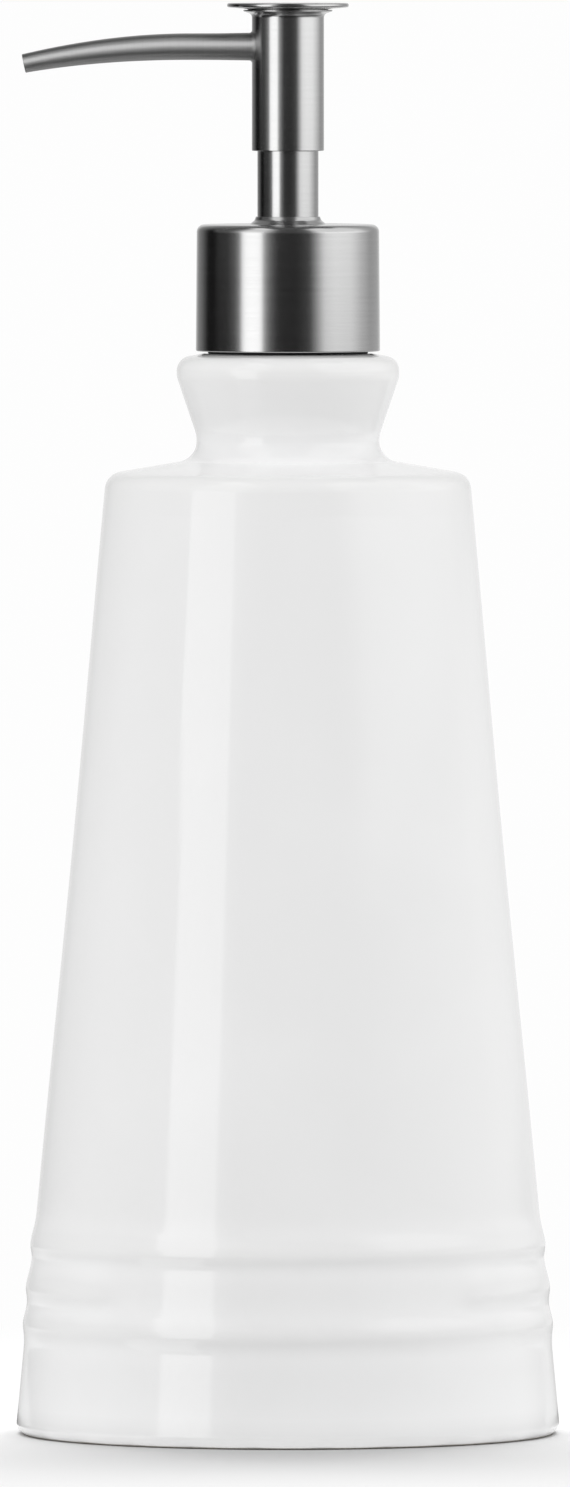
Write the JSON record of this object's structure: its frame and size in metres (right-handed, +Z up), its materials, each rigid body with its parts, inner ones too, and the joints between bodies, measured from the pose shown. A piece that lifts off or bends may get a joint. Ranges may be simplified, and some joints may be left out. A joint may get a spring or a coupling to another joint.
{
  "type": "detergent dispenser bottle",
  "caption": "Tapered round ceramic bottle for liquid soap with a screwed-on brushed steel hand pump: a sprung, swivelling head with a curved spout over piston, valves and dip tube.",
  "frame": {"origin": "middle of the foot ring, on the surface that the bottle stands on", "axes": "+Z up along the axis of bottle and pump, spout along -X at rest, plain front towards -Y"},
  "size_m": [0.0832, 0.0832, 0.22],
  "materials": {
    "white_glaze": "glossy white glaze on stoneware, bare at the foot ring",
    "brushed_steel": "stainless steel brushed round the axis",
    "polished_steel": "bright stainless wire and ball",
    "dark_rubber": "matt dark silicone",
    "grey_plastic": "satin moulded plastic",
    "white_plastic": "satin moulded plastic",
    "natural_plastic": "milky natural plastic"
  },
  "bodies": {
    "bottle": {"bottle_body": "white_glaze", "rim_gasket": "dark_rubber", "neck_insert": "grey_plastic"},
    "pump": {"housing_gasket": "dark_rubber", "pump_cylinder": "white_plastic", "chaplet": "white_plastic", "guide_tube": "brushed_steel", "ball_retainer": "white_plastic", "dip_tube": "natural_plastic", "return_spring": "polished_steel"},
    "collar": {"collar_shell": "brushed_steel", "screw_cap": "white_plastic"},
    "plunger": {"stem": "white_plastic", "stem_tip": "white_plastic"},
    "piston": {"piston_seal": "natural_plastic"},
    "head": {"head_core": "white_plastic", "head_sleeve": "brushed_steel", "finger_pad": "brushed_steel", "spout_tube": "brushed_steel"},
    "inlet_valve": {"inlet_ball": "polished_steel"}
  },
  "joints": [
    {"name": "pump_lift", "type": "slide", "parent": "bottle", "child": "pump", "axis": [0, 0, 1], "range_m": [0, 0.00636]},
    {"name": "collar_turn", "type": "hinge", "parent": "pump", "child": "collar", "pos_m": [0, 0, 0.1768], "axis": [0, 0, 1], "range_deg": [0, 720]},
    {"name": "head_press", "type": "slide", "parent": "pump", "child": "plunger", "axis": [0, 0, -1], "range_m": [0, 0.0095], "stiffness_N_per_m": 900, "springref_m": -0.01, "deforming": ["return_spring"]},
    {"name": "head_swivel", "type": "hinge", "parent": "plunger", "child": "head", "pos_m": [0, 0, 0.2133], "axis": [0, 0, 1], "continuous": true},
    {"name": "piston_lag", "type": "slide", "parent": "plunger", "child": "piston", "axis": [0, 0, 1], "range_m": [0, 0.0008]},
    {"name": "inlet_lift", "type": "slide", "parent": "pump", "child": "inlet_valve", "axis": [0, 0, 1], "range_m": [0, 0.0012]}
  ],
  "couplings": [
    {"joint": "pump_lift", "follows": "collar_turn", "m_per_rad": 0.00050532}
  ]
}
